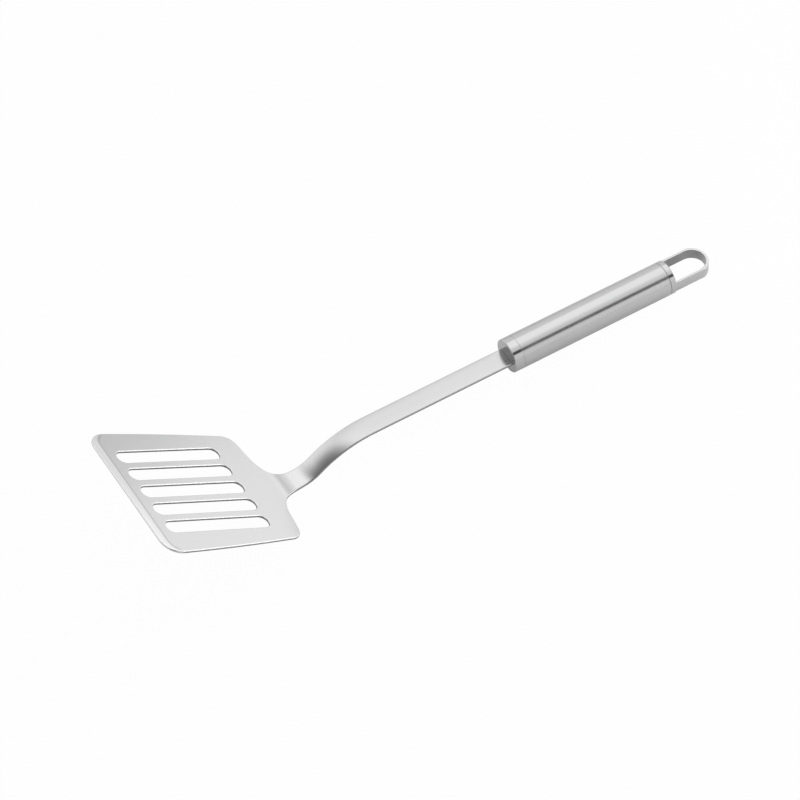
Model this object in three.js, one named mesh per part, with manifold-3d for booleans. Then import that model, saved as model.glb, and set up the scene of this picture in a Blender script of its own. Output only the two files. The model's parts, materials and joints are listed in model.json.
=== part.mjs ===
// Slotted kitchen turner in stainless steel: a bent sheet blade with its stem, and a round hollow handle.
// Millimetres, +Z up. The turner lies as it does on a table, on the bend of its stem and the end of its
// handle, with X along its length from blade to hanging loop and Y across the blade.
import * as THREE from "three";
import { mergeVertices } from "three/addons/utils/BufferGeometryUtils.js";
import Module from "manifold-3d";

// Blade
const sheetThickness = 1.4;
const slotCount = 5;
const slotWidth = 9;
const slotLength = 68;
const slotWeb = 4.8;
const frontLand = 9.7;
const rearLand = 17.8;
const frontSideLand = 14.8;
const rearSideLand = 9.8;
const sideBow = 1.1;
const frontCornerRadius = 10;
const rearCornerRadius = 8;
const bevelLength = 4.4;
const bevelEdge = 0.95;
const bevelCornerRadius = 9;

// Neck and stem
const stemWidth = 13;
const shoulderSlope = 0.14;
const neckFilletAcross = 17;
const neckFilletAlong = 14.5;
const neckLength = 3.6;
const firstBendRadius = 22.5;
const firstBendAngle = THREE.MathUtils.degToRad(65.5);
const betweenBends = 2.1;
const secondBendRadius = 61.7;
const secondBendAngle = THREE.MathUtils.degToRad(33.35);
const stemRun = 88.9;

// Handle
const handleDiameter = 20;
const tubeWall = 1;
const tubeLength = 96.6;
const ferruleLength = 5.95;
const ferruleEdgeRadius = 0.5;
const spigotLength = 9;
const stemBelowAxis = 0.4;
const stemRecessDepth = 2.6;
const tangWidth = 10;
const tangPastFerrule = 4;
const weldLeg = 2;
const weldEndInset = 1;
const collarLength = 3.35;
const loopReach = 26;
const loopHeight = 6.8;
const loopSideWall = 2.05;
const loopTipWall = 1.7;

// Clearance between pieces that fit together, and the overshoot of every cutting tool
const fitGap = 0.3;
const cutOver = 5;

// Vertices closer than this are one vertex
const mergeDistance = 1e-4;

// Facets on round stretches
const turnedFacets = 72;
const cornerFacets = 8;
const slotEndFacets = 10;
const bendFacets = 14;
const loopFacets = 40;

const handleRadius = handleDiameter / 2;
const boreRadius = handleRadius - tubeWall;
const spigotRadius = boreRadius - fitGap;
const handleAngle = firstBendAngle - secondBendAngle;
const slotPitch = slotWidth + slotWeb;
const slotBlockHalf = ((slotCount - 1) * slotPitch + slotWidth) / 2;
const frontHalf = slotBlockHalf + frontSideLand;
const rearHalf = slotBlockHalf + rearSideLand;
const frontX = -(slotLength / 2 + frontLand);
const rearX = slotLength / 2 + rearLand;
const stemHalf = stemWidth / 2;
const widest = 2 * (Math.max(frontHalf, rearHalf) + cutOver);

const steel = (color, roughness) => new THREE.MeshStandardMaterial({ color, roughness, metalness: 1 });
const sheetSteel = steel(0xd6d7d8, 0.34);
const turnedSteel = steel(0xc9cacb, 0.3);
const tubeSteel = steel(0xcfd0d1, 0.28);
const weldSteel = steel(0xa9a8a6, 0.55);

const wasm = await Module();
wasm.setup();

// A closed three.js geometry as a solid that can be joined and cut
function solid(geometry) {
  const bare = geometry.clone();
  bare.deleteAttribute("normal");
  bare.deleteAttribute("uv");
  const merged = mergeVertices(bare, mergeDistance);
  return new wasm.Manifold(new wasm.Mesh({
    numProp: 3,
    vertProperties: new Float32Array(merged.attributes.position.array),
    triVerts: new Uint32Array(merged.index.array),
  }));
}

// A named three.js mesh from a finished solid
function meshOf(name, body, material) {
  const { vertProperties, triVerts } = body.getMesh();
  const geometry = new THREE.BufferGeometry();
  geometry.setAttribute("position", new THREE.BufferAttribute(new Float32Array(vertProperties), 3));
  geometry.setIndex(new THREE.BufferAttribute(new Uint32Array(triVerts), 1));
  geometry.computeVertexNormals();
  const mesh = new THREE.Mesh(geometry, material);
  mesh.name = name;
  return mesh;
}

// A shape in the XY plane pulled up and down by half a height
function pulledInZ(shape, height, curveSegments) {
  const geometry = new THREE.ExtrudeGeometry(shape, { depth: height, bevelEnabled: false, curveSegments });
  return geometry.translate(0, 0, -height / 2);
}

// A shape in the XZ plane pulled to both sides by half a width
function pulledInY(shape, width) {
  const geometry = new THREE.ExtrudeGeometry(shape, { depth: width, bevelEnabled: false });
  return geometry.translate(0, 0, -width / 2).rotateX(Math.PI / 2);
}

// A profile of [along, radius] points turned about the X axis
function turned(profile) {
  const points = profile.map(([along, radius]) => new THREE.Vector2(radius, along));
  return new THREE.LatheGeometry(points, turnedFacets).rotateZ(-Math.PI / 2);
}

function box(x0, x1, y0, y1, z0, z1) {
  const geometry = new THREE.BoxGeometry(x1 - x0, y1 - y0, z1 - z0);
  return geometry.translate((x0 + x1) / 2, (y0 + y1) / 2, (z0 + z1) / 2);
}

// Follows the top face of the sheet in the XZ plane, from the front edge to the end of the tang.
// Each station is a point on the top face and the unit normal that points out of it.
function sheetStations() {
  const point = new THREE.Vector2(frontX - cutOver, 0);
  let heading = 0;
  const stations = [];
  const normal = () => new THREE.Vector2(-Math.sin(heading), Math.cos(heading));
  const mark = () => stations.push({ point: point.clone(), normal: normal() });
  const straight = (length) => {
    point.add(new THREE.Vector2(Math.cos(heading), Math.sin(heading)).multiplyScalar(length));
    mark();
  };
  const bend = (radius, angle) => {
    const side = Math.sign(angle);
    const centre = point.clone().addScaledVector(normal(), side * radius);
    const start = heading;
    for (let step = 1; step <= bendFacets; step += 1) {
      heading = start + (angle * step) / bendFacets;
      point.copy(centre).addScaledVector(normal(), -side * radius);
      mark();
    }
  };
  mark();
  straight(rearX + neckLength - (frontX - cutOver));
  bend(firstBendRadius, firstBendAngle);
  straight(betweenBends);
  bend(secondBendRadius, -secondBendAngle);
  straight(stemRun);
  const entry = stations[stations.length - 1];
  straight(ferruleLength + spigotLength + tangPastFerrule);
  return { stations, entry };
}

const { stations, entry } = sheetStations();

// The handle's axis starts where the stem enters the ferrule's front face
const axisRise = stemBelowAxis - sheetThickness / 2;
const handleOrigin = entry.point.clone().addScaledVector(entry.normal, axisRise);

// A geometry that is laid out along the handle, taken to the blade's own frame
function alongHandle(geometry) {
  return geometry.rotateY(-handleAngle).translate(handleOrigin.x, 0, handleOrigin.y);
}

// Side view of the sheet: its top face out, and its lower face back
function sheetProfile() {
  const top = stations.map(({ point }) => point.clone());
  const under = stations.map(({ point, normal }) => point.clone().addScaledVector(normal, -sheetThickness));
  return new THREE.Shape([...top, ...under.reverse()]);
}

// Plan of one half of the sheet: front edge, round corner, bowed side, round shoulder, neck and stem
function halfPlan() {
  const shoulderEnd = new THREE.Vector2(rearX, stemHalf + neckFilletAcross);
  const cornerX = rearX - shoulderSlope * (rearHalf - shoulderEnd.y);
  const stemEnd = stations[stations.length - 1].point.x + cutOver;
  const neckEndX = rearX + neckLength + neckFilletAlong;
  const sideStart = new THREE.Vector2(frontX + frontCornerRadius, frontHalf);
  const sideEnd = new THREE.Vector2(cornerX - rearCornerRadius, rearHalf);
  const shoulderStart = new THREE.Vector2(cornerX + shoulderSlope * rearCornerRadius, rearHalf - rearCornerRadius);
  const path = new THREE.Path();
  path.moveTo(frontX, 0);
  path.lineTo(frontX, frontHalf - frontCornerRadius);
  path.absarc(sideStart.x, frontHalf - frontCornerRadius, frontCornerRadius, Math.PI, Math.PI / 2, true);
  path.quadraticCurveTo((sideStart.x + sideEnd.x) / 2, (frontHalf + rearHalf) / 2 + sideBow, sideEnd.x, sideEnd.y);
  path.quadraticCurveTo(cornerX, rearHalf, shoulderStart.x, shoulderStart.y);
  path.lineTo(shoulderEnd.x, shoulderEnd.y);
  path.quadraticCurveTo(rearX + shoulderSlope * neckFilletAcross, stemHalf, neckEndX, stemHalf);
  path.lineTo(stemEnd, stemHalf);
  return path.getPoints(cornerFacets);
}

// Whole plan of the sheet with its slots, which have full round ends
function sheetPlan() {
  const half = halfPlan();
  const mirrored = half.slice(1).map(({ x, y }) => new THREE.Vector2(x, -y));
  const plan = new THREE.Shape([...half, ...mirrored.reverse()]);
  const endRadius = slotWidth / 2;
  const endX = slotLength / 2 - endRadius;
  for (let index = 0; index < slotCount; index += 1) {
    const y = (index - (slotCount - 1) / 2) * slotPitch;
    const slot = new THREE.Path();
    slot.absarc(endX, y, endRadius, -Math.PI / 2, Math.PI / 2, false);
    slot.absarc(-endX, y, endRadius, Math.PI / 2, (3 * Math.PI) / 2, false);
    slot.closePath();
    plan.holes.push(slot);
  }
  return plan;
}

// What the front bevel takes away: everything above a slope that falls from a crease on the top face,
// round the two front corners too, to a thinner front edge
function frontBevelCut() {
  const creaseX = frontX + bevelLength;
  const creaseHalf = frontHalf + fitGap;
  const backX = creaseX + bevelCornerRadius;
  const shape = new THREE.Shape();
  shape.moveTo(backX + cutOver, -creaseHalf);
  shape.lineTo(backX + cutOver, creaseHalf);
  shape.lineTo(backX, creaseHalf);
  shape.absarc(backX, creaseHalf - bevelCornerRadius, bevelCornerRadius, Math.PI / 2, Math.PI, false);
  shape.absarc(backX, bevelCornerRadius - creaseHalf, bevelCornerRadius, Math.PI, (3 * Math.PI) / 2, false);
  shape.closePath();
  const bevelDrop = sheetThickness - bevelEdge;
  const kept = new THREE.ExtrudeGeometry(shape, {
    depth: sheetThickness,
    bevelEnabled: true,
    bevelThickness: bevelDrop,
    bevelSize: bevelLength,
    bevelSegments: 1,
    curveSegments: cornerFacets,
  });
  kept.translate(0, 0, -sheetThickness - bevelDrop);
  const reach = creaseHalf + bevelLength;
  const block = box(frontX - bevelLength, backX, -reach, reach, -sheetThickness, cutOver);
  return solid(block).subtract(solid(kept));
}

function bladeAndStem() {
  const planHeight = 2 * (stations[stations.length - 1].point.y + cutOver);
  const sheet = solid(pulledInY(sheetProfile(), widest));
  const outline = solid(pulledInZ(sheetPlan(), planHeight, slotEndFacets));
  let body = sheet.intersect(outline).subtract(frontBevelCut());
  const shoulder = stemRecessDepth - fitGap;
  const tangEnd = ferruleLength + spigotLength + tangPastFerrule + cutOver;
  for (const side of [-1, 1]) {
    const edges = [side * (tangWidth / 2), side * (stemHalf + cutOver)].sort((a, b) => a - b);
    const relief = box(shoulder, tangEnd, ...edges, -cutOver, cutOver);
    body = body.subtract(solid(alongHandle(relief)));
  }
  return meshOf("blade_and_stem", body, sheetSteel);
}

// Turned plug at the front of the handle, with a recess for the stem and a slot for its tang
function frontFerrule() {
  const profile = [[0, 0]];
  const edge = new THREE.Path();
  edge.absarc(ferruleEdgeRadius, handleRadius - ferruleEdgeRadius, ferruleEdgeRadius, Math.PI, Math.PI / 2, true);
  for (const { x, y } of edge.getPoints(cornerFacets)) profile.push([x, y]);
  const rear = ferruleLength + spigotLength;
  profile.push([ferruleLength, handleRadius], [ferruleLength, spigotRadius], [rear, spigotRadius], [rear, 0]);
  const middle = -stemBelowAxis;
  const recessHalf = stemHalf + fitGap;
  const slotHalf = tangWidth / 2 + fitGap;
  const halfHeight = sheetThickness / 2 + fitGap;
  const recess = box(-cutOver, stemRecessDepth, -recessHalf, recessHalf, middle - halfHeight, middle + halfHeight);
  const slot = box(0, rear + cutOver, -slotHalf, slotHalf, middle - halfHeight, middle + halfHeight);
  const body = solid(turned(profile)).subtract(solid(recess)).subtract(solid(slot));
  return meshOf("front_ferrule", body, turnedSteel);
}

function handleTube() {
  const front = ferruleLength + fitGap;
  const rear = front + tubeLength;
  const profile = [
    [front, boreRadius],
    [front, handleRadius],
    [rear, handleRadius],
    [rear, boreRadius],
    [front, boreRadius],
  ];
  return meshOf("handle_tube", solid(turned(profile)), tubeSteel);
}

// Collar and spigot that close the tube, and the round-ended loop cut from the same bar
function hangingLoop() {
  const start = ferruleLength + tubeLength + 2 * fitGap;
  const collarEnd = start + collarLength;
  const tip = collarEnd + loopReach;
  const spigotFront = start - spigotLength;
  const profile = [
    [spigotFront, 0],
    [spigotFront, spigotRadius],
    [start, spigotRadius],
    [start, handleRadius],
    [tip, handleRadius],
    [tip, 0],
  ];
  const outer = new THREE.Shape();
  outer.moveTo(spigotFront - cutOver, -handleRadius - cutOver);
  outer.lineTo(collarEnd, -handleRadius - cutOver);
  outer.lineTo(collarEnd, -handleRadius);
  outer.absarc(tip - handleRadius, 0, handleRadius, -Math.PI / 2, Math.PI / 2, false);
  outer.lineTo(collarEnd, handleRadius);
  outer.lineTo(collarEnd, handleRadius + cutOver);
  outer.lineTo(spigotFront - cutOver, handleRadius + cutOver);
  outer.closePath();
  const holeHalf = handleRadius - loopSideWall;
  const holeEnd = tip - loopTipWall - holeHalf;
  const hole = new THREE.Shape();
  hole.moveTo(collarEnd, -holeHalf);
  hole.lineTo(holeEnd, -holeHalf);
  hole.absarc(holeEnd, 0, holeHalf, -Math.PI / 2, Math.PI / 2, false);
  hole.lineTo(collarEnd, holeHalf);
  hole.closePath();
  const height = 2 * (handleRadius + cutOver);
  let body = solid(turned(profile)).intersect(solid(pulledInZ(outer, height, loopFacets)));
  body = body.subtract(solid(pulledInZ(hole, height, loopFacets)));
  const reach = handleRadius + cutOver;
  for (const side of [-1, 1]) {
    const levels = [(side * loopHeight) / 2, side * reach].sort((a, b) => a - b);
    body = body.subtract(solid(box(collarEnd, tip + cutOver, -reach, reach, ...levels)));
  }
  return meshOf("hanging_loop", body, turnedSteel);
}

// One fillet bead in the corner between a face of the tang and the back of the ferrule
function tangWeld(name, side) {
  const corner = new THREE.Vector2(ferruleLength + spigotLength + fitGap, sheetThickness / 2 + fitGap);
  const bead = new THREE.Shape();
  bead.moveTo(corner.x, corner.y);
  bead.lineTo(corner.x + weldLeg, corner.y);
  bead.quadraticCurveTo(corner.x + weldLeg / 2, corner.y + weldLeg / 2, corner.x, corner.y + weldLeg);
  bead.closePath();
  const geometry = pulledInY(bead, tangWidth - 2 * weldEndInset);
  if (side < 0) geometry.rotateX(Math.PI);
  geometry.translate(0, 0, -stemBelowAxis);
  return meshOf(name, solid(geometry), weldSteel);
}

const handle = new THREE.Group();
handle.add(frontFerrule());
handle.add(handleTube());
handle.add(hangingLoop());
handle.add(tangWeld("upper_tang_weld", 1));
handle.add(tangWeld("lower_tang_weld", -1));
handle.rotation.y = -handleAngle;
handle.position.set(handleOrigin.x, 0, handleOrigin.y);

// The tilt that lays the underside of the first bend and the lowest edge of the handle on one level:
// the line through that edge which touches the bend's outer circle from below
function restTilt() {
  const bendOutside = firstBendRadius + sheetThickness;
  const bendCentre = new THREE.Vector2(rearX + neckLength, firstBendRadius);
  const down = new THREE.Vector2(Math.sin(handleAngle), -Math.cos(handleAngle));
  const along = new THREE.Vector2(Math.cos(handleAngle), Math.sin(handleAngle));
  const collarEnd = ferruleLength + tubeLength + 2 * fitGap + collarLength;
  const tilts = [ferruleEdgeRadius, collarEnd].map((station) => {
    const edge = handleOrigin.clone().addScaledVector(along, station).addScaledVector(down, handleRadius);
    const reach = edge.sub(bendCentre);
    return reach.angle() + Math.asin(bendOutside / reach.length());
  });
  return Math.min(...tilts);
}

const lying = new THREE.Group();
lying.add(bladeAndStem());
lying.add(handle);
lying.rotation.y = restTilt();

const turner = new THREE.Group();
turner.add(lying);
turner.updateMatrixWorld(true);

// The origin is on the table, under the middle of the turner's length
const extent = new THREE.Box3().setFromObject(turner, true);
lying.position.set(-(extent.min.x + extent.max.x) / 2, 0, -extent.min.z);

export default turner;
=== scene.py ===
"""Looks of a slotted steel kitchen turner: a bent sheet blade and stem, and a round hollow handle and loop.

Sizes are in millimetres. The sheet is worked out in the blade's frame and the handle in the handle's frame.
Both are then placed, in metres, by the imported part's mounts.
"""

import json
import math

import bmesh
import bpy
import numpy as np
from mathutils import Matrix, Vector


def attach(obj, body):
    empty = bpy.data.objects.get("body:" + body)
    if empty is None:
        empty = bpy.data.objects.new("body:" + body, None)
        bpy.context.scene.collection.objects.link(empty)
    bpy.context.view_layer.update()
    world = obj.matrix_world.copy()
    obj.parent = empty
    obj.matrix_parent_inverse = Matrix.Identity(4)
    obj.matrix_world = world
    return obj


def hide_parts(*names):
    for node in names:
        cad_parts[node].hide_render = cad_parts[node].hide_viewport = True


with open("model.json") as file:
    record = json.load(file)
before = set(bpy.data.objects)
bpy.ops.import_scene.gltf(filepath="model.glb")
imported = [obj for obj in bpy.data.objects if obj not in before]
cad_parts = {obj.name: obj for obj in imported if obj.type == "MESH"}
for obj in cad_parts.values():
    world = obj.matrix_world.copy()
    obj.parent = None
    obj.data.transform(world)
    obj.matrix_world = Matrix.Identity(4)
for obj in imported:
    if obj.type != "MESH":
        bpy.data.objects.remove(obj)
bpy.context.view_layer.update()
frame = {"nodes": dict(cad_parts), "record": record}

MM = 0.001

# Blade
SHEET_THICKNESS = 1.4
SLOT_COUNT = 5
SLOT_WIDTH = 9.0
SLOT_LENGTH = 68.0
SLOT_PITCH = 13.8
FRONT_LAND = 9.7
REAR_LAND = 17.8
FRONT_SIDE_LAND = 14.8
REAR_SIDE_LAND = 9.8
SIDE_BOW = 1.1
FRONT_CORNER_RADIUS = 10.0
REAR_CORNER_RADIUS = 8.0
BEVEL_LENGTH = 4.4
BEVEL_EDGE = 0.95
BEVEL_CORNER_RADIUS = 9.0
BEVEL_SIDE_GAP = 0.3
BEVEL_BLEND = 0.6

# Neck and stem
STEM_WIDTH = 13.0
SHOULDER_SLOPE = 0.14
NECK_FILLET_ACROSS = 17.0
NECK_FILLET_ALONG = 14.5
NECK_LENGTH = 3.6
FIRST_BEND_RADIUS = 22.5
FIRST_BEND_ANGLE = math.radians(65.5)
BETWEEN_BENDS = 2.1
SECOND_BEND_RADIUS = 61.7
SECOND_BEND_ANGLE = math.radians(33.35)
STEM_RUN = 88.9
BEND_CROWN = 0.55
STEM_CROWN = 0.2

# Lengths past the start of the first bend over which the crowns, the neck's painted highlight and the painted
# shade on the stem's rim fade
BEND_CROWN_RISE = (15.0, 27.0)
STEM_CROWN_RISE = (42.0, 67.0)
NECK_HIGHLIGHT_RISE = (9.0, 12.0)
NECK_HIGHLIGHT_FALL = (17.0, 27.0)
STEM_RIM_START = 9.0

# Length before the ferrule over which the stem's crown runs out
STEM_CROWN_FALL = 9.0

# Handle
HANDLE_RADIUS = 10.0
TUBE_WALL = 1.0
TUBE_LENGTH = 96.6
FERRULE_LENGTH = 5.95
FERRULE_EDGE_RADIUS = 0.45
SPIGOT_LENGTH = 9.0
STEM_BELOW_AXIS = 0.4
RECESS_DEPTH = 2.6
TANG_WIDTH = 10.0
TANG_PAST_FERRULE = 4.0
COLLAR_LENGTH = 3.35
LOOP_REACH = 26.0
LOOP_HEIGHT = 6.8
LOOP_SIDE_WALL = 2.05
LOOP_TIP_WALL = 1.7
FIT_GAP = 0.3
SEAM_GAP = 0.06
COLLAR_SEAM_GAP = 0.2

# Rounds on worked edges, and the narrow flat beside each round that keeps the faces' shading flat
RIM_ROUND = 0.55
UNDER_ROUND = 0.25
SEAM_ROUND = 0.1
LOOP_ROUND = 0.4
RIM_FLAT = 0.05

# The most of the sheet's thickness that its upper and lower rounds take
RIM_ROUND_SHARE = 0.4
UNDER_ROUND_SHARE = 0.25

# How dark the blade's outer edge, the bevel's crease and the loop's inner wall are, beside a slot's wall.
# The walls are darker partly as duller cut steel and partly as painted shade; the crease and the loop's
# inner wall are painted shade alone
OUTER_RIM = 0.75
CREASE_SHADE = 0.5
LOOP_WALL_SHADE = 0.72
LOOP_WALL_SHADE_FADE = 0.1

# How bright the painted highlight on the inside of the first bend is
NECK_HIGHLIGHT_LEVEL = 0.5

# The loop's legs lie this far inside the collar's round, so that the two surfaces don't coincide
LEG_INSET = 0.03

# Where the blade's mount sits along the blade
BLADE_MOUNT_X = 42.0

# Steps on the grids
ROUND_STEPS = 6
SLOT_STEPS = 44
CELL_STEPS = 12
CORNER_STEPS = 16
SHOULDER_STEPS = 14
FILLET_STEPS = 40
STEM_STEP = 1.0
TURNED_STEPS = 192
LEG_STEPS = 12
BOW_STEPS = 72
LOOP_FACE_POINTS = 8

# Shares of the way at which the flat grids have rows
CELL_SHARES = (0.0, 0.5, 1.0)
FACE_SHARES = (0.0, 0.5, 0.8, 1.0)
BEVEL_SHARES = (0.0, 0.15, 1.0)

# Metres within which points join and below which an edge has no length
WELD_REACH = 2e-6
SLIVER_LENGTH = 1e-7

# Smallest values that these formulas divide by
LEAST_DISTANCE = 1e-9
LEAST_SINE = 0.01

SHARP_ANGLE = math.radians(35)

stem_half = STEM_WIDTH / 2
tang_half = TANG_WIDTH / 2
slot_block_half = ((SLOT_COUNT - 1) * SLOT_PITCH + SLOT_WIDTH) / 2
front_half = slot_block_half + FRONT_SIDE_LAND
rear_half = slot_block_half + REAR_SIDE_LAND
front_x = -(SLOT_LENGTH / 2 + FRONT_LAND)
rear_x = SLOT_LENGTH / 2 + REAR_LAND
bend_x = rear_x + NECK_LENGTH
bore_radius = HANDLE_RADIUS - TUBE_WALL
spigot_radius = bore_radius - FIT_GAP
ferrule_end = FERRULE_LENGTH + (FIT_GAP - SEAM_GAP) / 2
tube_start = ferrule_end + SEAM_GAP
tube_end = FERRULE_LENGTH + FIT_GAP + TUBE_LENGTH + (FIT_GAP - COLLAR_SEAM_GAP) / 2
collar_start = tube_end + COLLAR_SEAM_GAP
collar_end = FERRULE_LENGTH + FIT_GAP + TUBE_LENGTH + FIT_GAP + COLLAR_LENGTH
loop_tip = collar_end + LOOP_REACH
hole_half = HANDLE_RADIUS - LOOP_SIDE_WALL
hole_tip = loop_tip - LOOP_TIP_WALL
hole_centre = hole_tip - hole_half
bow_centre = loop_tip - HANDLE_RADIUS


# Frames of the blade and of the handle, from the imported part's mounts

class Place:
    """A frame in the part: an origin in metres and three unit axes, along, across (+Y) and up."""

    def __init__(self, point, along, point_along):
        across = np.array((0.0, 1.0, 0.0))
        self.axes = np.stack([along, across, np.cross(along, across)])
        self.origin = np.array(point) - self.axes[0] * point_along * MM

    def put(self, points):
        """Points in millimetres along the three axes, as points of the part in metres."""
        return self.origin + (np.asarray(points) * MM) @ self.axes

    def take(self, points):
        """Points of the part in metres, as metres along the three axes."""
        return (points - self.origin) @ self.axes.T


mounts = {mount["name"]: mount for mount in frame["record"]["mounts"]}
blade_normal = mounts["blade_top"]["axis"]
blade_place = Place(mounts["blade_top"]["pos_m"], (blade_normal[2], 0.0, -blade_normal[0]), BLADE_MOUNT_X)
handle_place = Place(mounts["hang_loop"]["pos_m"], mounts["hang_loop"]["axis"], hole_tip)


# Grids into meshes

class Shell:
    """Grids of points that together close one piece, with each point's grain place, how much it is rim,
    darkened partly as cut steel and partly as painted shade, and how much it takes a painted highlight."""

    def __init__(self):
        self.points = []
        self.grain = []
        self.rim = []
        self.ground = []
        self.quads = []
        self.count = 0

    def add(self, points, grain=(0.0, 0.0), rim=0.0, ground=0.0, ring=False):
        """Adds points[row, column, xyz] as quads. A ring's last column joins its first."""
        rows, columns = points.shape[:2]
        index = self.count + np.arange(rows * columns).reshape(rows, columns)
        if ring:
            index = np.concatenate([index, index[:, :1]], axis=1)
        corners = index[:-1, :-1], index[1:, :-1], index[1:, 1:], index[:-1, 1:]
        self.quads.append(np.stack(corners, axis=-1).reshape(-1, 4))
        self.points.append(points.reshape(-1, 3))
        self.grain.append(np.broadcast_to(grain, (rows, columns, 2)).reshape(-1, 2))
        self.rim.append(np.broadcast_to(rim, (rows, columns)).reshape(-1))
        self.ground.append(np.broadcast_to(ground, (rows, columns)).reshape(-1))
        self.count += rows * columns

    def mesh(self, name):
        """One welded mesh with outward faces and with attributes for grain, rim and the painted highlight."""
        mesh = bpy.data.meshes.new(name)
        mesh.from_pydata(np.concatenate(self.points).tolist(), [], np.concatenate(self.quads).tolist())
        keep(mesh, "rim", np.concatenate(self.rim))
        keep(mesh, "ground", np.concatenate(self.ground))
        flat = np.concatenate(self.grain)
        keep(mesh, "grain", np.column_stack([flat, 0 * flat[:, 0]]))
        weld(mesh)
        return mesh


def keep(mesh, name, values):
    """Keeps a number or a vector for each point of a mesh, as an attribute."""
    values = np.asarray(values, np.float32)
    if name in mesh.attributes:
        mesh.attributes.remove(mesh.attributes[name])
    kind, field = ("FLOAT", "value") if values.ndim == 1 else ("FLOAT_VECTOR", "vector")
    kept = mesh.attributes.new(name, kind, "POINT")
    kept.data.foreach_set(field, values.ravel())


def weld(mesh):
    """Joins points that lie on each other, drops what has no area, and turns every face outwards."""
    work = bmesh.new()
    work.from_mesh(mesh)
    bmesh.ops.remove_doubles(work, verts=work.verts, dist=WELD_REACH)
    bmesh.ops.dissolve_degenerate(work, edges=work.edges, dist=SLIVER_LENGTH)
    bmesh.ops.recalc_face_normals(work, faces=work.faces)
    work.to_mesh(mesh)
    work.free()


def ruled(first, last, shares):
    """Rows of points between two rows of as many points, at the given shares of the way."""
    shares = np.asarray(shares).reshape(-1, 1, 1)
    return first[None] * (1 - shares) + last[None] * shares


# The sheet: a length along it, a place across it and a height above its flat top face

STRETCHES = (
    (FIRST_BEND_RADIUS * FIRST_BEND_ANGLE, 1 / FIRST_BEND_RADIUS),
    (BETWEEN_BENDS, 0.0),
    (SECOND_BEND_RADIUS * SECOND_BEND_ANGLE, -1 / SECOND_BEND_RADIUS),
    (STEM_RUN + FERRULE_LENGTH + SPIGOT_LENGTH + TANG_PAST_FERRULE, 0.0),
)
first_bend_end = bend_x + STRETCHES[0][0]
second_bend_end = first_bend_end + BETWEEN_BENDS + STRETCHES[2][0]
ferrule_face = second_bend_end + STEM_RUN
sheet_end = second_bend_end + STRETCHES[3][0]


def smooth_step(value, low, high):
    """0 below low, 1 above high, and the cubic 3t^2 - 2t^3 between."""
    share = np.clip((value - low) / (high - low), 0, 1)
    return share * share * (3 - 2 * share)


def bend_fade(along, lengths):
    """A smooth step between two lengths past the start of the first bend."""
    return smooth_step(along, bend_x + lengths[0], bend_x + lengths[1])


def side_view(length):
    """The top face's x, z and heading at a length along the sheet. The blade is straight along x. Each later
    stretch is a line, or an arc whose x and z grow by the change of its heading's sine and cosine over its
    curvature."""
    x = np.minimum(length, bend_x)
    z = np.zeros_like(x)
    heading = np.zeros_like(x)
    start = bend_x
    for stretch, curvature in STRETCHES:
        gone = np.clip(length - start, 0, stretch)
        turned_to = heading + gone * curvature
        if curvature:
            x = x + (np.sin(turned_to) - np.sin(heading)) / curvature
            z = z + (np.cos(heading) - np.cos(turned_to)) / curvature
        else:
            x = x + gone * np.cos(heading)
            z = z + gone * np.sin(heading)
        heading = turned_to
        start += stretch
    return x, z, heading


def sheet_points(along, across, height):
    """Points of the sheet, in metres. A height stands square to the side view's line. The strip is crowned
    across: its middle stands up by 1 less the square of the share across where it is bent, and by 1 less its
    fourth power along the stem, which is flatter."""
    along, across, height = np.broadcast_arrays(along, across, height)
    x, z, heading = side_view(along)
    past_bend = bend_fade(along, STEM_CROWN_RISE)
    in_bend = bend_fade(along, BEND_CROWN_RISE) * (1 - past_bend)
    in_stem = past_bend * (1 - smooth_step(along, ferrule_face - STEM_CROWN_FALL, ferrule_face))
    share = np.minimum(np.abs(across) / stem_half, 1)
    height = height + BEND_CROWN * in_bend * (1 - share ** 2) + STEM_CROWN * in_stem * (1 - share ** 4)
    points = np.stack([x - np.sin(heading) * height, across, z + np.cos(heading) * height], axis=-1)
    return blade_place.put(points)


def bevel_reach(along, across):
    """How far a place lies outside the bevel's crease, which is a straight front line with round corners, and
    the direction there that leads away from the crease."""
    corner_x = front_x + BEVEL_LENGTH + BEVEL_CORNER_RADIUS
    corner_y = front_half + BEVEL_SIDE_GAP - BEVEL_CORNER_RADIUS
    ahead = np.maximum(corner_x - along, 0)
    aside = np.maximum(np.abs(across) - corner_y, 0)
    distance = np.hypot(ahead, aside)
    away = np.stack([-ahead, np.sign(across) * aside], axis=-1)
    outward = away / np.maximum(distance, LEAST_DISTANCE)[..., None]
    return distance - BEVEL_CORNER_RADIUS, outward


def top_height(along, across):
    """Height of the top face: flat, but sloping down to the front edge outside the crease."""
    reach = bevel_reach(along, across)[0]
    return -np.maximum(reach, 0) * (SHEET_THICKNESS - BEVEL_EDGE) / BEVEL_LENGTH


def in_bevel(along, across):
    """1 on the ground bevel and 0 elsewhere: the mask of its painted highlight and of the crease's painted
    shade.
    """
    return smooth_step(bevel_reach(along, across)[0], 0, BEVEL_BLEND)


def neck_painted_highlight(along):
    """How bright the painted highlight on the top of the neck is: it rises in the first bend and fades towards
    the second.
    """
    return NECK_HIGHLIGHT_LEVEL * bend_fade(along, NECK_HIGHLIGHT_RISE) * (1 - bend_fade(along, NECK_HIGHLIGHT_FALL))


def steps_of(count):
    """Shares of the way for a run of steps, without the start, as a column."""
    return (np.arange(count) + 1).reshape(-1, 1) / count


def line(start, end, count):
    """Evenly spaced points of a straight line, without its first."""
    share = steps_of(count)
    return np.array(start) * (1 - share) + np.array(end) * share


def quadratic(start, control, end, count):
    """Points of a quadratic curve, without its first."""
    share = steps_of(count)
    rest = 1 - share
    return rest ** 2 * np.array(start) + 2 * share * rest * np.array(control) + share ** 2 * np.array(end)


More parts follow.
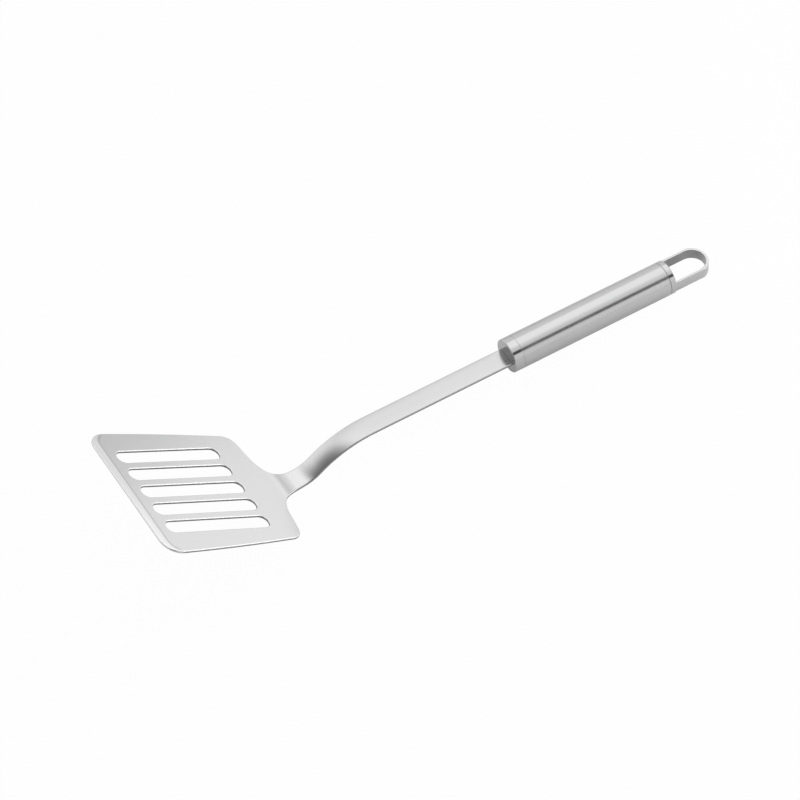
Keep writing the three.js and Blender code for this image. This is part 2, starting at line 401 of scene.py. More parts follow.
def arc(centre, radius, start, end, count):
    """Points of a circle between two angles, without its first."""
    angle = start + (end - start) * steps_of(count)
    return np.array(centre) + radius * np.concatenate([np.cos(angle), np.sin(angle)], axis=1)


side_steps = SLOT_STEPS + CELL_STEPS
front_steps = (SLOT_COUNT * CELL_STEPS) // 2


def blade_outline():
    """One half of the blade's outline, from the middle of its front edge to the neck's start: front edge,
    round corner, bowed side, round shoulder and sloping shoulder line."""
    neck = (rear_x, stem_half + NECK_FILLET_ACROSS)
    corner_x = rear_x - SHOULDER_SLOPE * (rear_half - neck[1])
    corner_y = front_half - FRONT_CORNER_RADIUS
    side_start = (front_x + FRONT_CORNER_RADIUS, front_half)
    side_end = (corner_x - REAR_CORNER_RADIUS, rear_half)
    bow = ((side_start[0] + side_end[0]) / 2, (front_half + rear_half) / 2 + SIDE_BOW)
    shoulder = (corner_x + SHOULDER_SLOPE * REAR_CORNER_RADIUS, rear_half - REAR_CORNER_RADIUS)
    return np.concatenate([
        [(front_x, 0.0)],
        line((front_x, 0.0), (front_x, corner_y), front_steps),
        arc((side_start[0], corner_y), FRONT_CORNER_RADIUS, math.pi, math.pi / 2, CORNER_STEPS),
        quadratic(side_start, bow, side_end, side_steps),
        quadratic(side_end, (corner_x, rear_half), shoulder, SHOULDER_STEPS),
        line(shoulder, neck, SHOULDER_STEPS),
    ])


def stem_outline():
    """One half of the neck, stem and tang, as lengths along the sheet and half widths. The neck's curve is
    drawn in plan, where the first bend shortens it, so its lengths follow the bend's arc."""
    neck = (rear_x, stem_half + NECK_FILLET_ACROSS)
    control = (rear_x + SHOULDER_SLOPE * NECK_FILLET_ACROSS, stem_half)
    plan = quadratic(neck, control, (bend_x + NECK_FILLET_ALONG, stem_half), FILLET_STEPS)
    into_bend = np.clip((plan[:, 0] - bend_x) / FIRST_BEND_RADIUS, 0, 1)
    plan[:, 0] = np.minimum(plan[:, 0], bend_x) + FIRST_BEND_RADIUS * np.arcsin(into_bend)
    tang_start = ferrule_face + RECESS_DEPTH - FIT_GAP
    count = round((tang_start - plan[-1, 0]) / STEM_STEP)
    return np.concatenate([
        plan,
        line(plan[-1], (tang_start, stem_half), count),
        [(tang_start + RIM_FLAT, tang_half), (sheet_end, tang_half)],
    ])


def inward(loop):
    """Inward move of a closed loop's points for each unit of inset, mitred where the loop turns."""
    after = np.roll(loop, -1, axis=0) - loop
    after /= np.linalg.norm(after, axis=1, keepdims=True)
    before = np.roll(after, 1, axis=0)
    first, second = (np.stack([edge[:, 1], -edge[:, 0]], axis=-1) for edge in (before, after))
    return (first + second) / (1 + np.sum(first * second, axis=1, keepdims=True))


quarter_turn = np.linspace(0, math.pi / 2, ROUND_STEPS + 1)
top_rows = ROUND_STEPS + 2


def rim_profile(thickness):
    """The edge of the sheet as rows of inset and height, one column for each point of the edge: a narrow
    flat, a quarter round, the wall, a smaller quarter round and a narrow flat below. The third result is 1 on
    the wall and the lower round and 0 elsewhere: the rim, darkened partly as cut steel and partly as painted
    shade. The fourth is 1 on the upper round, which takes a painted glint."""
    over = np.minimum(RIM_ROUND, RIM_ROUND_SHARE * thickness)
    under = np.minimum(UNDER_ROUND, UNDER_ROUND_SHARE * thickness)
    top = thickness - SHEET_THICKNESS
    sine = np.sin(quarter_turn)[:, None]
    cosine = np.cos(quarter_turn)[:, None]
    inset = np.concatenate([
        [over + RIM_FLAT],
        over * (1 - sine),
        under * (1 - cosine),
        [under + RIM_FLAT],
    ])
    height = np.concatenate([
        [top],
        top - over * (1 - cosine),
        under * (1 - sine) - SHEET_THICKNESS,
        [0 * top - SHEET_THICKNESS],
    ])
    rim = np.zeros_like(inset)
    rim[top_rows - 1:-1] = 1
    lip = np.zeros_like(inset)
    lip[1:top_rows - 1] = 1
    return inset, height, rim, lip


def slot_loops(inset, square=False):
    """A slot's loop for each inset from its edge: a round end, a straight side, and both again. Square, the
    round ends become half squares of the slot pitch, so that the cells of neighbouring slots meet."""
    end_x = (SLOT_LENGTH - SLOT_WIDTH) / 2
    angle = np.linspace(-math.pi / 2, math.pi / 2, 2 * CELL_STEPS + 1)
    round_end = np.stack([np.cos(angle), np.sin(angle)], axis=-1)
    radius = SLOT_WIDTH / 2 + inset
    if square:
        round_end = round_end / np.abs(round_end).max(axis=1, keepdims=True)
        radius = SLOT_PITCH / 2 + 0 * inset
    run = np.linspace(end_x, -end_x, SLOT_STEPS + 1)[1:-1]
    side = np.stack([0 * run, 1 + 0 * run], axis=-1)
    reach = np.concatenate([round_end, side, -round_end, -side])
    centre = np.concatenate([end_x + 0 * angle, run, -end_x + 0 * angle, -run])
    return np.stack([centre + radius * reach[:, 0], radius * reach[:, 1]], axis=-1)


def add_slot(shell, middle):
    """Rim of one slot, and the flat cell around it on both faces."""
    inset, height, rim, lip = rim_profile(np.array([SHEET_THICKNESS]))
    loops = slot_loops(inset) + (0.0, middle)
    shell.add(sheet_points(loops[..., 0], loops[..., 1], height), loops * MM, rim, lip, ring=True)
    cell = slot_loops(inset[:1], square=True)[0] + (0.0, middle)
    for loop, level in ((loops[0], 0.0), (loops[-1], -SHEET_THICKNESS)):
        flat = ruled(loop, cell, CELL_SHARES)
        shell.add(sheet_points(flat[..., 0], flat[..., 1], level), flat * MM, ring=True)


def slot_block():
    """Half of the outline of all the cells together, point for point with the blade's half outline: front
    side, a corner held, long side and a corner held. The second result is its rear side, from that corner to
    the middle."""
    half = SLOT_PITCH / 2
    end_x = (SLOT_LENGTH - SLOT_WIDTH) / 2
    cell = half * np.tan(np.linspace(-math.pi / 4, math.pi / 4, CELL_STEPS + 1))
    middles = (np.arange(SLOT_COUNT) - (SLOT_COUNT - 1) / 2) * SLOT_PITCH
    across = np.append((middles[:, None] + cell[:-1]).ravel(), middles[-1] + half)[front_steps:]
    ends = end_x + cell[:CELL_STEPS // 2 - 1:-1]
    along = np.concatenate([-ends, np.linspace(-end_x, end_x, SLOT_STEPS + 1)[1:-1], ends[::-1]])
    front = np.stack([along[0] + 0 * across, across], axis=-1)
    side = np.stack([along, across[-1] + 0 * along], axis=-1)
    edge = np.concatenate([
        front,
        np.repeat(front[-1:], CORNER_STEPS, axis=0),
        side[1:],
        np.repeat(side[-1:], 2 * SHOULDER_STEPS, axis=0),
    ])
    return edge, front[::-1] * (-1, 1)


def add_blade_face(shell, ring, neck_row, level):
    """The blade's top or under face between the slots' cells and its edge, with the bevel's crease on top."""
    block_edge, block_rear = slot_block()
    crease = ring
    dark = 0 * ring[:, 0]
    if level == 0:
        reach, outward = bevel_reach(ring[:, 0], ring[:, 1])
        crease = ring - np.maximum(reach, RIM_FLAT)[:, None] * outward
        # Painted shade along the bevel's crease: a dark line where the bevel meets the flat
        dark = CREASE_SHADE * in_bevel(ring[:, 0], ring[:, 1])
    plain = 0 * dark
    grids = [
        (ruled(block_edge, crease, FACE_SHARES), np.stack([plain, plain, plain, dark])),
        (ruled(crease, ring, BEVEL_SHARES), np.stack([dark, plain, plain])),
        (ruled(block_rear, neck_row, FACE_SHARES), 0.0),
    ]
    for side in (-1, 1):
        for grid, rim in grids:
            face = grid * (1, side)
            along, across = face[..., 0], face[..., 1]
            height = top_height(along, across) if level == 0 else level
            # The bevel takes a painted highlight
            ground = in_bevel(along, across) if level == 0 else 0.0
            shell.add(sheet_points(along, across, height), face * MM, rim, ground)


def add_face(shell, ring, blade_count, level):
    """One face of the sheet inside its edge: the blade, then the strip of neck, stem and tang, whose last row
    closes on the two corners of the tang's end."""
    stem = ring[blade_count - 1:]
    shares = np.linspace(1, 0, front_steps + 1)
    neck_row = stem[0] * np.stack([1 + 0 * shares, shares], axis=-1)
    add_blade_face(shell, ring[:blade_count], neck_row, level)
    across = np.tile(np.concatenate([shares, -shares[-2::-1]]), (len(stem), 1))
    across[-1] = np.where(across[-1] < 0, -1, 1)
    strip = np.stack([stem[:, :1] + 0 * across, stem[:, 1:] * across], axis=-1)
    # The top of the neck takes a painted highlight
    neck_highlight_share = neck_painted_highlight(strip[..., 0]) if level == 0 else 0.0
    shell.add(sheet_points(strip[..., 0], strip[..., 1], level), strip * MM, ground=neck_highlight_share)


def sheet_mesh():
    """The whole sheet: slots with their cells, the outer edge carried round the outline, and both faces."""
    shell = Shell()
    for index in range(SLOT_COUNT):
        add_slot(shell, (index - (SLOT_COUNT - 1) / 2) * SLOT_PITCH)
    blade_half = blade_outline()
    half = np.concatenate([blade_half, stem_outline()])
    loop = np.concatenate([half, half[:0:-1] * (1, -1)])
    edge_height = top_height(loop[:, 0], loop[:, 1])
    inset, height, rim, lip = rim_profile(SHEET_THICKNESS + edge_height)
    rings = loop + inward(loop) * inset[..., None]
    height[:top_rows] += top_height(rings[0, :, 0], rings[0, :, 1]) - edge_height
    # The bevel's edge takes a painted highlight in place of the rim's darkening
    bevel_edge_highlight = in_bevel(loop[:, 0], loop[:, 1])
    # Along the stem the rim takes its full painted shade, and the lips lose their painted glint
    on_stem = smooth_step(loop[:, 0], rear_x, bend_x + STEM_RIM_START)
    rim = rim * (OUTER_RIM + (1 - OUTER_RIM) * on_stem) * (1 - bevel_edge_highlight)
    ground = np.maximum(lip * (1 - on_stem), bevel_edge_highlight)
    shell.add(sheet_points(rings[..., 0], rings[..., 1], height), rings * MM, rim, ground, ring=True)
    for ring, level in ((rings[0], 0.0), (rings[-1], -SHEET_THICKNESS)):
        add_face(shell, ring[:len(half)], len(blade_half), level)
    return shell.mesh("blade_and_stem_skin")


# The handle: turned profiles, and the loop's section carried round its bow

def corner_round(centre, radius, start, end):
    """Points of an edge's round in a turned profile, between two angles in degrees."""
    angle = np.radians(np.linspace(start, end, ROUND_STEPS + 1))
    return np.array(centre) + radius * np.stack([np.cos(angle), np.sin(angle)], axis=-1)


def turned(name, profile):
    """A profile of (along, radius) turned about the handle's axis: radius times a turn's sine and cosine."""
    profile = np.asarray(profile)
    turn = np.linspace(0, 2 * math.pi, TURNED_STEPS, endpoint=False)
    along, radius = profile[:, :1], profile[:, 1:]
    points = np.stack(np.broadcast_arrays(along, radius * np.sin(turn), radius * np.cos(turn)), axis=-1)
    shell = Shell()
    shell.add(handle_place.put(points), ring=True)
    return shell.mesh(name)


def block(name, low, high):
    """A plain block between two corners in the handle's frame, as a cutting tool."""
    across = np.array((low[1], high[1], high[1], low[1]))
    up = np.array((low[2], low[2], high[2], high[2]))
    section = np.stack([across, up], axis=-1)
    middle = section.mean(axis=0) + 0 * section
    rows = (low[0], middle), (low[0], section), (high[0], section), (high[0], middle)
    points = np.stack([np.column_stack([np.full(len(row), along), row]) for along, row in rows])
    shell = Shell()
    shell.add(handle_place.put(points), ring=True)
    return shell.mesh(name)


def worked(body, operation, tools):
    """A body's mesh after each tool's mesh is joined to it or cut from it."""
    stock = bpy.data.objects.new(body.name, body)
    bpy.context.scene.collection.objects.link(stock)
    used = [stock]
    for mesh in tools:
        tool = bpy.data.objects.new(mesh.name, mesh)
        bpy.context.scene.collection.objects.link(tool)
        cut = stock.modifiers.new(mesh.name, "BOOLEAN")
        cut.operation = operation
        cut.solver = "EXACT"
        cut.object = tool
        used.append(tool)
    bpy.context.view_layer.update()
    shaped = stock.evaluated_get(bpy.context.evaluated_depsgraph_get())
    mesh = bpy.data.meshes.new_from_object(shaped)
    for made in used:
        bpy.data.objects.remove(made)
    return mesh


def ferrule_mesh():
    """Turned plug with a rounded front edge, a recess for the stem, a slot for its tang and a rear spigot."""
    edge = FERRULE_EDGE_RADIUS
    rear = ferrule_end + SPIGOT_LENGTH
    body = turned("ferrule_body", np.concatenate([
        [(0.0, 0.0), (0.0, HANDLE_RADIUS - edge - RIM_FLAT)],
        corner_round((edge, HANDLE_RADIUS - edge), edge, 180, 90),
        [(edge + RIM_FLAT, HANDLE_RADIUS), (ferrule_end - SEAM_ROUND - RIM_FLAT, HANDLE_RADIUS)],
        corner_round((ferrule_end - SEAM_ROUND, HANDLE_RADIUS - SEAM_ROUND), SEAM_ROUND, 90, 0),
        [(ferrule_end, spigot_radius), (rear, spigot_radius), (rear, 0.0)],
    ]))
    over = 1.0
    recess_half = stem_half + SEAM_GAP
    recess_height = SHEET_THICKNESS / 2 + SEAM_GAP
    slot_half = tang_half + FIT_GAP
    slot_height = SHEET_THICKNESS / 2 + FIT_GAP
    middle = -STEM_BELOW_AXIS
    recess = block(
        "stem_recess",
        (-over, -recess_half, middle - recess_height),
        (RECESS_DEPTH, recess_half, middle + recess_height),
    )
    slot = block(
        "tang_slot",
        (RECESS_DEPTH - over, -slot_half, middle - slot_height),
        (rear + over, slot_half, middle + slot_height),
    )
    return worked(body, "DIFFERENCE", [recess, slot])


def tube_mesh():
    """Plain tube with its outer end edges lightly rounded."""
    ease = SEAM_ROUND + RIM_FLAT
    return turned("handle_tube_skin", np.concatenate([
        [(tube_start, bore_radius)],
        corner_round((tube_start + SEAM_ROUND, HANDLE_RADIUS - SEAM_ROUND), SEAM_ROUND, 180, 90),
        [(tube_start + ease, HANDLE_RADIUS), (tube_end - ease, HANDLE_RADIUS)],
        corner_round((tube_end - SEAM_ROUND, HANDLE_RADIUS - SEAM_ROUND), SEAM_ROUND, 90, 0),
        [(tube_end, bore_radius), (tube_start, bore_radius)],
    ]))


def loop_wall(turn, height):
    """Thickness of the loop's wall at a turn round its bow, from 90 degrees on one leg to -90 on the other.
    Outside it keeps within the bow's circle and within the handle's own round, whichever is nearer."""
    shift = hole_centre - bow_centre
    bow = np.sqrt(HANDLE_RADIUS ** 2 - (shift * np.sin(turn)) ** 2) - shift * np.cos(turn)
    handle = np.sqrt(HANDLE_RADIUS ** 2 - height ** 2) / np.maximum(np.abs(np.sin(turn)), LEAST_SINE)
    return np.minimum(bow, handle) - hole_half


def loop_section():
    """The loop's section as share of the wall, offset from there and height: outer face, top, inner wall and
    bottom, with quarter rounds between."""
    inner = LOOP_HEIGHT / 2 - LOOP_ROUND
    cosine = LOOP_ROUND * np.cos(quarter_turn)
    sine = LOOP_ROUND * np.sin(quarter_turn)
    face = np.linspace(-inner, inner, LOOP_FACE_POINTS)[1:-1]
    parts = (
        (1 + 0 * face, 0 * face, face),
        (1 + 0 * sine, cosine - LOOP_ROUND, inner + sine),
        (0 * sine, LOOP_ROUND - sine, inner + cosine),
        (0 * sine, LOOP_ROUND - cosine, -inner - sine),
        (1 + 0 * sine, sine - LOOP_ROUND, -inner - cosine),
    )
    return [np.concatenate(rows) for rows in zip(*parts)]


def loop_mesh():
    """Spigot and collar, joined to the loop: its section carried along one leg, round the bow and back."""
    seam = SEAM_ROUND + RIM_FLAT
    ease = LOOP_ROUND + RIM_FLAT
    collar = turned("collar", np.concatenate([
        [(collar_start - SPIGOT_LENGTH, 0.0), (collar_start - SPIGOT_LENGTH, spigot_radius)],
        [(collar_start, spigot_radius)],
        corner_round((collar_start + SEAM_ROUND, HANDLE_RADIUS - SEAM_ROUND), SEAM_ROUND, 180, 90),
        [(collar_start + seam, HANDLE_RADIUS), (collar_end - ease, HANDLE_RADIUS)],
        corner_round((collar_end - LOOP_ROUND, HANDLE_RADIUS - LOOP_ROUND), LOOP_ROUND, 90, 0),
        [(collar_end, 0.0)],
    ]))
    share, offset, height = loop_section()
    legs = np.linspace(collar_end - COLLAR_LENGTH / 2, hole_centre, LEG_STEPS, endpoint=False)
    turn = np.concatenate([
        np.full(LEG_STEPS, math.pi / 2),
        np.linspace(math.pi / 2, -math.pi / 2, BOW_STEPS + 1),
        np.full(LEG_STEPS, -math.pi / 2),
    ])[:, None]
    centre = np.concatenate([legs, np.full(BOW_STEPS + 1, hole_centre), legs[::-1]])[:, None]
    inner = LOOP_HEIGHT / 2 - LOOP_ROUND
    wall = loop_wall(turn, np.clip(height, -inner, inner))
    reach = hole_half + share * (wall - LEG_INSET) + offset
    bow = np.broadcast_arrays(centre + reach * np.cos(turn), reach * np.sin(turn), height)
    points = np.stack(bow, axis=-1)
    ends = points[[0, -1]].mean(axis=1, keepdims=True) + 0 * points[[0, -1]]
    band = Shell()
    band.add(handle_place.put(np.concatenate([ends[:1], points, ends[1:]])), ring=True)
    return worked(collar, "UNION", [band.mesh("loop_band")])


# Steel finishes

class Value:
    """A number, vector or colour from a node's output. Arithmetic on it adds Math nodes to its finish."""

    def __init__(self, finish, socket):
        self.finish = finish
        self.socket = socket

    def math(self, operation, *values):
        return self.finish.add("ShaderNodeMath", {"operation": operation}, dict(enumerate(values)))

    def __add__(self, other):
        return self.math("ADD", self, other)

    def __sub__(self, other):
        return self.math("SUBTRACT", self, other)

    def __rsub__(self, other):
        return self.math("SUBTRACT", other, self)

    def __mul__(self, other):
        return self.math("MULTIPLY", self, other)

    def __abs__(self):
        return self.math("ABSOLUTE", self)

    __radd__ = __add__
    __rmul__ = __mul__


class Finish:
    """A node tree and one way to add to it: a node's type, its settings, and its inputs' values or links."""

    def __init__(self, tree):
        self.tree = tree
        tree.nodes.clear()

    def add(self, kind, settings=None, inputs=None, output=0):
        node = self.tree.nodes.new(kind)
        for key, value in (settings or {}).items():
            setattr(node, key, value)
        for key, value in (inputs or {}).items():
            if isinstance(value, Value):
                self.tree.links.new(value.socket, node.inputs[key])
            else:
                node.inputs[key].default_value = value
        return Value(self, node.outputs[output]) if node.outputs else None

    def mix(self, share, first, second):
        """A colour between two, at a share of the way."""
        return self.add("ShaderNodeMix", {"data_type": "RGBA"}, {0: share, 6: first, 7: second}, output=2)


def new_finish(name):
    """A new material, and the finish on its empty node tree."""
    material = bpy.data.materials.new(name)
    material.use_nodes = True
    return material, Finish(material.node_tree)


# Grey of the painted highlight on the bevel, the lips and the neck
PAINTED_HIGHLIGHT_GREY = 0.9
# Grey of the rim: partly the duller grey of cut steel, partly painted shade
CUT_AND_SHADE_GREY = 0.30
COOL_TINT = 1.01

# How much the streaks and the clouds weigh in the colour and the roughness, and how rough a sheared wall is
STREAK_TONE = 0.7
CLOUD_TONE = 0.3
STREAK_DULLNESS = 0.1
CLOUD_DULLNESS = 0.06
RIM_DULLNESS = 0.15
STREAK_DETAIL = 3.0
CLOUD_SCALE = 70.0
CLOUD_DETAIL = 2.0
LINE_STRENGTH = 0.3


def steel(name, dark, light, roughness, streak, depth):
    """Brushed steel. Streaks are noise drawn out along the brushing: streak is their size in millimetres on
    the three grain axes. They shade the colour and the roughness a little and raise fine lines of a depth,
    and slow cloudy patches of polish lie over them. Places marked for a painted highlight are brighter than
    the faces. Rim places are rougher, and darker partly as cut steel and partly as painted shade."""
    material, finish = new_finish(name)
    grain = finish.add("ShaderNodeAttribute", {"attribute_name": "grain"}, output="Vector")
    rim = finish.add("ShaderNodeAttribute", {"attribute_name": "rim"}, output="Fac")
    ground = finish.add("ShaderNodeAttribute", {"attribute_name": "ground"}, output="Fac")
    fine = tuple(1 / (size * MM) for size in streak)
    drawn = finish.add("ShaderNodeMapping", None, {"Vector": grain, "Scale": fine})
    streaks = finish.add("ShaderNodeTexNoise", None, {"Vector": drawn, "Scale": 1.0, "Detail": STREAK_DETAIL})
    slow = {"Vector": grain, "Scale": CLOUD_SCALE, "Detail": CLOUD_DETAIL}
    clouds = finish.add("ShaderNodeTexNoise", None, slow)
    tone = streaks * STREAK_TONE + clouds * CLOUD_TONE
    face = finish.mix(tone, grey(dark), grey(light))
    # Marked places brighten towards a painted highlight
    bright = finish.mix(ground, face, grey(PAINTED_HIGHLIGHT_GREY))
    # The rim mark darkens towards the rim grey: painted shade, and partly cut steel
    colour = finish.mix(rim, bright, grey(CUT_AND_SHADE_GREY))
    dullness = roughness + (streaks - 0.5) * STREAK_DULLNESS + (clouds - 0.5) * CLOUD_DULLNESS
    dullness = dullness + rim * RIM_DULLNESS
    raised = {"Strength": LINE_STRENGTH, "Distance": depth * MM, "Height": streaks}
    lines = finish.add("ShaderNodeBump", None, raised)
    surface = finish.add(
        "ShaderNodeBsdfPrincipled", None,
        {"Base Color": colour, "Metallic": 1.0, "Roughness": dullness, "Normal": lines},
    )
    finish.add("ShaderNodeOutputMaterial", None, {"Surface": surface})
    return material


def grey(low):
    """An opaque, faintly cool grey."""
    return (low, low, low * COOL_TINT, 1.0)


brushed_sheet = steel("brushed_sheet", 0.66, 0.74, 0.22, (14.0, 0.16, 1.0), 0.01)
brushed_tube = steel("brushed_tube", 0.65, 0.75, 0.20, (0.14, 9.0, 9.0), 0.008)
satin_turned = steel("satin_turned", 0.65, 0.74, 0.12, (0.12, 7.0, 7.0), 0.005)
weld_bead = steel("weld_bead", 0.38, 0.58, 0.42, (0.9, 0.7, 0.7), 0.06)


# The pieces

def piece(name, mesh, material, node):
    """A finished piece: smooth but for its sharp edges, riding on the part in place of a CAD node."""
    mesh.name = name
    mesh.shade_smooth()
    mesh.set_sharp_from_angle(angle=SHARP_ANGLE)
    mesh.materials.clear()
    mesh.materials.append(material)
    made = bpy.data.objects.new(name, mesh)
    bpy.context.scene.collection.objects.link(made)
    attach(made, "root")
    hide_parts(node)


def grained(mesh, rim=None):
    """A handle piece's mesh, with its grain place along, across and up the handle, and its rim of painted shade
    if any.
    """
    points = np.zeros(len(mesh.vertices) * 3, np.float32)
    mesh.vertices.foreach_get("co", points)
    grain = handle_place.take(points.reshape(-1, 3))
    keep(mesh, "grain", grain)
    if rim:
        keep(mesh, "rim", rim(*(grain / MM).T))
    return mesh


def loop_wall_shade(along, across, up):
    """Painted shade on the inner wall of the loop, a part of 1 there fading to 0 over its rounds."""
    reach = np.hypot(np.maximum(along - hole_centre, 0), across) - hole_half
    return LOOP_WALL_SHADE * (1 - smooth_step(reach, LOOP_WALL_SHADE_FADE, LOOP_ROUND)) * (along > collar_end - LOOP_ROUND)


piece("slotted_blade_with_stem", sheet_mesh(), brushed_sheet, "blade_and_stem")
piece("turned_ferrule", grained(ferrule_mesh()), satin_turned, "front_ferrule")
piece("brushed_handle_tube", grained(tube_mesh()), brushed_tube, "handle_tube")
piece("turned_hanging_loop", grained(loop_mesh(), loop_wall_shade), satin_turned, "hanging_loop")
for weld_node in ("upper_tang_weld", "lower_tang_weld"):
    bead = frame["nodes"][weld_node]
    bead.data.materials.clear()
    bead.data.materials.append(weld_bead)


# White table, tent of light and camera

# The floor: its size in metres, its grey, and how far the camera and the steel see plain white there
FLOOR_SIZE = 8.0
FLOOR_GREY = 0.62
FLOOR_WHITE = 0.98
FLOOR_MIRRORED = 0.15

# The tent: aims are directions outward, spans are the degrees from an aim at which it fades out and is full,
# and depths are the shares of light that the dark places take away
TENT_LEVEL = 0.76
TENT_TOP = (0.12, 0.27, 0.955)
TENT_TOP_SPAN = (36, 10)
TENT_TOP_LIFT = 0.36
NECK_PATCH = (0.48, 0.57, 0.67)
NECK_PATCH_SPAN = (12, 4)
NECK_PATCH_LIFT = 0.2
LEFT_WALL = (-0.70, 0.68, 0.20)
LEFT_WALL_SPAN = (60, 20)
LEFT_WALL_LIFT = 0.28
LOW_DROP = 0.1
LOW_TOP = 0.3
OPEN_END = (-0.62, 0.10, 0.78)
OPEN_END_SPAN = (40, 6)
OPEN_END_DEPTH = 0.85
CAMERA_LEFT = (-0.35, -0.82, 0.45)
CAMERA_LEFT_SPAN = (38, 12)
CAMERA_LEFT_DEPTH = 0.95
CAMERA_SLIT_ACROSS = (0.0, 0.737, 0.676)
CAMERA_SLIT_EDGES = (84, 77)
CAMERA_SLIT_MIDDLE = (0.35, -0.633, 0.690)
CAMERA_SLIT_SPAN = (18, 9)
CAMERA_SLIT_DEPTH = 0.9

# Panels and card: places in millimetres, with each panel's level and the card's greys
PANEL_X = 450.0
PANEL_HEIGHT = 305.0
PANELS = ((-350.0, 470.0, 0.40), (-400.0, 160.0, 3.2))
CARD_X = 38.0
CARD_LOW = (4.0, 30.0)
CARD_HIGH = (38.0, 58.0)
CARD_NEAR = (8.0, 0.03)
CARD_FAR = (28.0, 0.22)


def cosines(degrees):
    """Cosines of a pair of angles."""
    return [math.cos(math.radians(angle)) for angle in degrees]


def light_tent():
    """A white tent of light around the table, brighter overhead, on its left wall and in a patch that the
    neck reflects. One end above the blade is open and dark, and so are the narrow slit that the camera looks
    through and the place on its left. The camera itself sees plain white."""
    world = bpy.data.worlds.new("light_tent")
    world.use_nodes = True
    bpy.context.scene.world = world
    tent = Finish(world.node_tree)
    outward = tent.add("ShaderNodeTexCoord", output="Generated")
    camera = tent.add("ShaderNodeLightPath", output="Is Camera Ray")

    def facing(aim):
        product = {"operation": "DOT_PRODUCT"}
        return tent.add("ShaderNodeVectorMath", product, {0: outward, 1: aim}, output="Value")

    def fade(value, start, end):
        smooth = {"interpolation_type": "SMOOTHSTEP"}
        return tent.add("ShaderNodeMapRange", smooth, {0: value, 1: start, 2: end})

    def around(aim, span):
        """1 near an aim, fading to 0 away from it, over a span of degrees."""
        return fade(facing(aim), *cosines(span))

    low = 1 - fade(facing((0.0, 0.0, 1.0)), 0.0, LOW_TOP)
    level = TENT_LEVEL - LOW_DROP * low
    level = level + TENT_TOP_LIFT * around(TENT_TOP, TENT_TOP_SPAN)
    level = level + NECK_PATCH_LIFT * around(NECK_PATCH, NECK_PATCH_SPAN)
    level = level + LEFT_WALL_LIFT * around(LEFT_WALL, LEFT_WALL_SPAN)
    beside = abs(facing(CAMERA_SLIT_ACROSS))
    slit = (1 - fade(beside, *cosines(CAMERA_SLIT_EDGES))) * around(CAMERA_SLIT_MIDDLE, CAMERA_SLIT_SPAN)
    level = level * (1 - OPEN_END_DEPTH * around(OPEN_END, OPEN_END_SPAN))
    level = level * (1 - CAMERA_LEFT_DEPTH * around(CAMERA_LEFT, CAMERA_LEFT_SPAN))
    level = level * (1 - CAMERA_SLIT_DEPTH * slit)
    shown = level * (1 - camera) + camera
    light = tent.add("ShaderNodeBackground", None, {"Color": (1.0, 1.0, 1.0, 1.0), "Strength": shown})
    tent.add("ShaderNodeOutputWorld", None, {"Surface": light})


def white_table():
    """A large white floor. The camera sees it as nearly even white with a faint shadow, and the steel sees it
    partly as that white, and partly as lit by the tent and shaded by the object."""
    half = FLOOR_SIZE / 2
    mesh = bpy.data.meshes.new("table")
    corners = [(-half, -half, 0), (half, -half, 0), (half, half, 0), (-half, half, 0)]
    mesh.from_pydata(corners, [], [(0, 1, 2, 3)])
    material, finish = new_finish("white_table")
    camera = finish.add("ShaderNodeLightPath", output="Is Camera Ray")
    through = finish.add("ShaderNodeLightPath", output="Is Transmission Ray")
    mirrored = finish.add("ShaderNodeLightPath", output="Is Glossy Ray")
    lit = finish.add("ShaderNodeBsdfDiffuse", None, {"Color": (FLOOR_GREY, FLOOR_GREY, FLOOR_GREY, 1.0)})
    white = finish.add("ShaderNodeEmission", None, {"Color": (1.0, 1.0, 1.0, 1.0), "Strength": 1.0})
    share = FLOOR_WHITE * camera + FLOOR_WHITE * through + FLOOR_MIRRORED * mirrored
    surface = finish.add("ShaderNodeMixShader", None, {0: share, 1: lit, 2: white})
    finish.add("ShaderNodeOutputMaterial", None, {"Surface": surface})
    mesh.materials.append(material)
    table = bpy.data.objects.new("table", mesh)
    bpy.context.scene.collection.objects.link(table)


def side_panel(start, end, level):
    """A soft lit panel beyond the end of the handle, between two places across. The flat of the blade and the
    rims on its right reflect it."""
    lamp = bpy.data.lights.new("side_panel", "AREA")
    lamp.shape = "RECTANGLE"
    lamp.size = PANEL_HEIGHT * MM
    lamp.size_y = (end - start) * MM
    lamp.energy = level * math.pi * lamp.size * lamp.size_y
    panel = bpy.data.objects.new("side_panel", lamp)
    bpy.context.scene.collection.objects.link(panel)
    panel.location = Vector((PANEL_X, (start + end) / 2, PANEL_HEIGHT / 2)) * MM
    panel.rotation_euler = (0.0, math.pi / 2, 0.0)
    panel.visible_camera = False


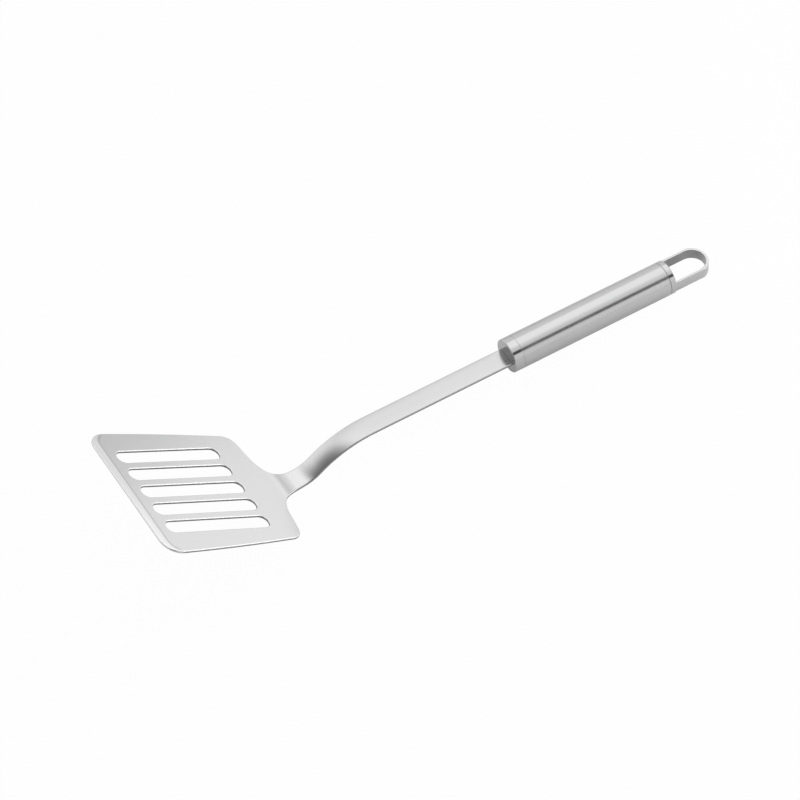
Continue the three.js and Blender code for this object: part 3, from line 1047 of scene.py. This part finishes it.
def grey_card():
    """A small card in front of the ferrule, darker on the near side. The end of the stem, as the ferrule's
    polished face mirrors it, shows the card. From behind and to the camera it isn't there."""
    low, high = CARD_LOW, CARD_HIGH
    corners = (low[0], low[1]), (high[0], low[1]), (high[0], high[1]), (low[0], high[1])
    mesh = bpy.data.meshes.new("grey_card")
    mesh.from_pydata([(CARD_X * MM, wide * MM, up * MM) for wide, up in corners], [], [(0, 1, 2, 3)])
    material, finish = new_finish("grey_card")
    behind = finish.add("ShaderNodeNewGeometry", output="Backfacing")
    point = finish.add("ShaderNodeTexCoord", output="Object")
    across = finish.add("ShaderNodeSeparateXYZ", None, {0: point}, output="Y")
    share = finish.add("ShaderNodeMapRange", None, {0: across, 1: CARD_NEAR[0] * MM, 2: CARD_FAR[0] * MM})
    shade = finish.mix(share, grey(CARD_NEAR[1]), grey(CARD_FAR[1]))
    card = finish.add("ShaderNodeEmission", None, {"Color": shade, "Strength": 1.0})
    clear = finish.add("ShaderNodeBsdfTransparent")
    surface = finish.add("ShaderNodeMixShader", None, {0: behind, 1: card, 2: clear})
    finish.add("ShaderNodeOutputMaterial", None, {"Surface": surface})
    mesh.materials.append(material)
    made = bpy.data.objects.new("grey_card", mesh)
    bpy.context.scene.collection.objects.link(made)
    made.visible_camera = False
    made.visible_diffuse = False
    made.visible_shadow = False


CAMERA_AIM = (-10.544, 16.164, 0.0)
CAMERA_DISTANCE = 1814.375
CAMERA_AZIMUTH = math.radians(-115.446)
CAMERA_ELEVATION = math.radians(50.954)
CAMERA_ROLL = math.radians(-6.952)
CAMERA_LENS = 147.31


def photo_camera():
    """Camera at the photograph's view: it looks down at a point of the table, and is rolled a little."""
    level = math.cos(CAMERA_ELEVATION)
    back = Vector((
        level * math.cos(CAMERA_AZIMUTH),
        level * math.sin(CAMERA_AZIMUTH),
        math.sin(CAMERA_ELEVATION),
    ))
    lens = bpy.data.cameras.new("camera")
    lens.lens = CAMERA_LENS
    camera = bpy.data.objects.new("camera", lens)
    bpy.context.scene.collection.objects.link(camera)
    place = Vector(CAMERA_AIM) * MM + back * CAMERA_DISTANCE * MM
    turn = (-back).to_track_quat("-Z", "Y").to_matrix().to_4x4()
    camera.matrix_world = Matrix.Translation(place) @ turn @ Matrix.Rotation(CAMERA_ROLL, 4, "Z")
    bpy.context.scene.camera = camera


light_tent()
for panel_start, panel_end, panel_level in PANELS:
    side_panel(panel_start, panel_end, panel_level)
white_table()
grey_card()
photo_camera()
bpy.context.scene.view_settings.view_transform = "Standard"
